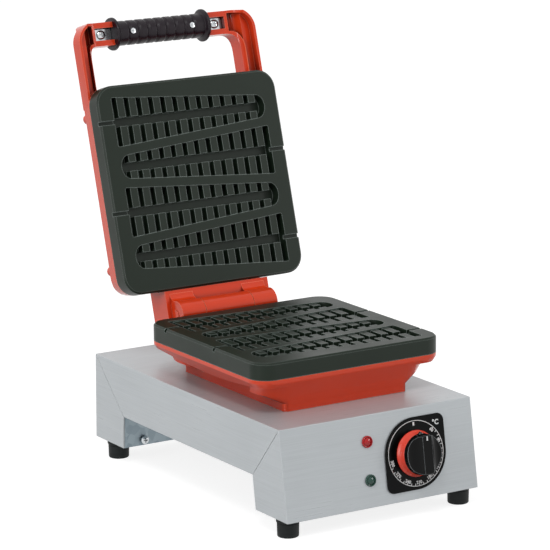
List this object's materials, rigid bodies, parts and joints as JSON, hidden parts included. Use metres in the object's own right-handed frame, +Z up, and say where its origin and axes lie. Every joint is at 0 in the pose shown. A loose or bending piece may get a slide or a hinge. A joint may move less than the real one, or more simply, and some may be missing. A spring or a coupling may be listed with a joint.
{
  "type": "waffle on a stick maker",
  "caption": "Countertop waffle stick iron: folded steel base with dial and lamps, red cast housings, ribbed tapered moulds, rear hinged lid and a front grip.",
  "frame": {"origin": "middle of the bottom of the whole object's box with the lid open, on the worktop", "axes": "+X to the right of a user facing the dial, +Y from the dial to the hinge, +Z up"},
  "size_m": [0.24, 0.4974, 0.4833],
  "materials": {
    "brushed_steel": "brushed along the width, satin",
    "zinc": "galvanised, dull",
    "bright_steel": "bright plated",
    "red_enamel": "red-orange enamel, satin",
    "cast_iron": "dark coated casting, satin",
    "foot_rubber": "matte",
    "grip_plastic": "satin",
    "black_plastic": "gloss",
    "orange_plastic": "gloss",
    "red_lens": "gloss, translucent",
    "green_lens": "gloss, translucent",
    "cream_plastic": "matte moulding"
  },
  "bodies": {
    "base": {"housing": "brushed_steel", "base_pan": "zinc", "foot_screw_front_left": "zinc", "foot_screw_front_right": "zinc", "foot_screw_rear_left": "zinc", "foot_screw_rear_right": "zinc", "casing_bolt_front_left": "zinc", "casing_bolt_front_right": "zinc", "casing_bolt_rear_left": "zinc", "casing_bolt_rear_right": "zinc", "lower_heater": "zinc", "riser_screw_front_left": "bright_steel", "riser_screw_front_right": "bright_steel", "riser_screw_rear_left": "bright_steel", "riser_screw_rear_right": "bright_steel", "hinge_pin": "bright_steel", "sensor_bulb": "bright_steel", "lower_casing": "red_enamel", "lower_plate": "cast_iron", "foot_front_left": "foot_rubber", "foot_front_right": "foot_rubber", "foot_rear_left": "foot_rubber", "foot_rear_right": "foot_rubber", "dial_bezel": "black_plastic", "cable_gland": "black_plastic", "dial_ring": "orange_plastic", "lamp_lens_red": "red_lens", "lamp_lens_green": "green_lens", "lamp_body_red": "cream_plastic", "lamp_body_green": "cream_plastic", "thermostat": "cream_plastic", "terminal_block": "cream_plastic"},
    "lid": {"lid_casing": "red_enamel", "lid_plate": "cast_iron", "lid_heater": "zinc", "grip": "grip_plastic", "handle_strap": "bright_steel", "strap_bolt_left": "bright_steel", "strap_bolt_right": "bright_steel", "strap_nut_left": "zinc", "strap_nut_right": "zinc", "grip_screw_left": "bright_steel", "grip_screw_right": "bright_steel", "plate_bolt_rear_left": "zinc", "plate_bolt_rear_right": "zinc", "plate_bolt_front_left": "zinc", "plate_bolt_front_right": "zinc"},
    "control_knob": {"knob": "black_plastic", "knob_shaft": "zinc"}
  },
  "joints": [
    {"name": "lid_hinge", "type": "hinge", "parent": "base", "child": "lid", "pos_m": [0, 0.0914, 0.1687], "axis": [1, 0, 0], "range_deg": [0, 106.2]},
    {"name": "knob_turn", "type": "hinge", "parent": "base", "child": "control_knob", "pos_m": [0.0438, -0.22037, 0.0671], "axis": [0, 0.9877, -0.1566], "range_deg": [0, 280]}
  ]
}
